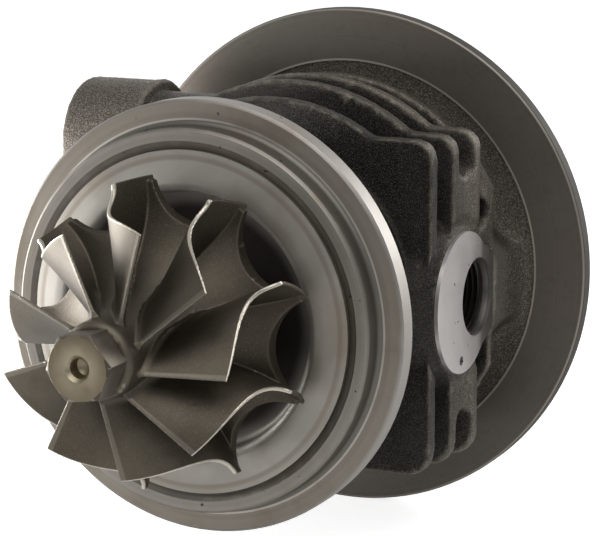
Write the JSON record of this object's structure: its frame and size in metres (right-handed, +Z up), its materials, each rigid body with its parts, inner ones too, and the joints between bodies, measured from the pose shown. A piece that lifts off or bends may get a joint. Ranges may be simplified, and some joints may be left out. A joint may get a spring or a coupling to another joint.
{
  "type": "turbo cartridge",
  "caption": "Turbocharger core: finned cast bearing housing with turbine flange, oil ports and compressor disc, and a bladed rotor spinning on floating bushes.",
  "frame": {"origin": "on the shaft axis, in the plane of the turbine flange's front face", "axes": "+Y along the shaft from the turbine end to the compressor end, +X out of the drain port, +Z up as in the picture"},
  "size_m": [0.1354, 0.1898, 0.1354],
  "materials": {
    "cast_iron": "rough sand casting, machined bright on the flange, spigot, drain face and disc",
    "shield_steel": "satin pressed heat-resisting steel",
    "turbine_alloy": "satin cast nickel alloy with ground blade edges",
    "ground_steel": "ground",
    "spring_steel": "blackened spring steel",
    "bronze": "turned bearing bronze",
    "plate_steel": "turned steel",
    "rubber": "matt",
    "cast_aluminium": "satin casting"
  },
  "bodies": {
    "housing": {"bearing_housing": "cast_iron", "heat_shield": "shield_steel", "turbine_seal_ring": "spring_steel", "turbine_bush_circlips": "spring_steel", "compressor_bush_circlips": "spring_steel", "thrust_bearing": "bronze", "thrust_screws": "spring_steel", "thrust_pins": "spring_steel", "oil_deflector": "plate_steel", "compressor_seal_ring": "spring_steel", "seal_plate": "plate_steel", "seal_plate_o_ring": "rubber", "seal_plate_snap_ring": "spring_steel"},
    "rotor": {"turbine_wheel": "turbine_alloy", "rotor_shaft": "ground_steel", "thrust_washer": "ground_steel", "thrust_collar": "ground_steel", "flinger_sleeve": "ground_steel", "compressor_wheel": "cast_aluminium", "lock_nut": "ground_steel"},
    "turbine_end_bush": {"turbine_bush": "bronze"},
    "compressor_end_bush": {"compressor_bush": "bronze"}
  },
  "joints": [
    {"name": "rotor_spin", "type": "hinge", "parent": "housing", "child": "rotor", "pos_m": [0, 0, 0], "axis": [0, 1, 0], "continuous": true},
    {"name": "turbine_bush_spin", "type": "hinge", "parent": "housing", "child": "turbine_end_bush", "pos_m": [0, 0.029, 0], "axis": [0, 1, 0], "continuous": true},
    {"name": "compressor_bush_spin", "type": "hinge", "parent": "housing", "child": "compressor_end_bush", "pos_m": [0, 0.064, 0], "axis": [0, 1, 0], "continuous": true}
  ],
  "couplings": [
    {"joint": "turbine_bush_spin", "follows": "rotor_spin", "ratio": 0.3},
    {"joint": "compressor_bush_spin", "follows": "rotor_spin", "ratio": 0.3}
  ]
}
